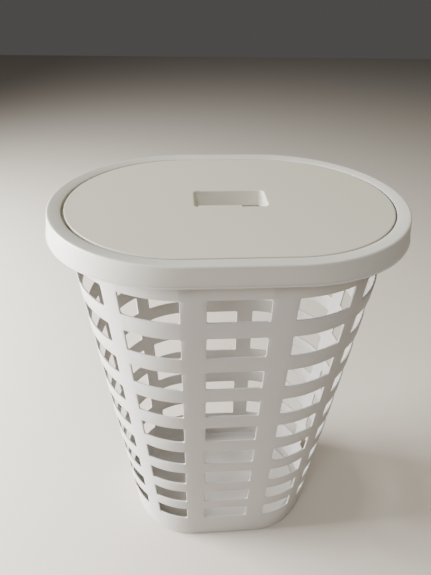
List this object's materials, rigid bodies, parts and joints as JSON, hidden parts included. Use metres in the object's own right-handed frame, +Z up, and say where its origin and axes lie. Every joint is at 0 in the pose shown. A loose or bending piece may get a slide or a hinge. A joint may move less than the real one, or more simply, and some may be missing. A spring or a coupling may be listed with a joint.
{
  "type": "laundry hamper with lid",
  "caption": "Tall tapered oval laundry hamper with slotted plastic walls, an overhanging rim frame with end grips and a loose lift-out lid with a hand slot.",
  "frame": {"origin": "middle of the base, on the ground the hamper stands on", "axes": "+Z up, +X towards the right-hand end along the hamper's long side, front towards -Y"},
  "size_m": [0.4416, 0.3254, 0.5835],
  "materials": {
    "basket_plastic": "fine satin moulding texture",
    "rim_plastic": "fine satin moulding texture",
    "lid_plastic": "fine satin moulding texture"
  },
  "bodies": {
    "hamper": {"basket_body": "basket_plastic", "rim_frame": "rim_plastic"},
    "loose_lid": {"lid": "lid_plastic"}
  },
  "joints": [
    {"name": "lid_lift", "type": "slide", "parent": "hamper", "child": "loose_lid", "axis": [0, 0, 1], "range_m": [0, 0.12]}
  ]
}
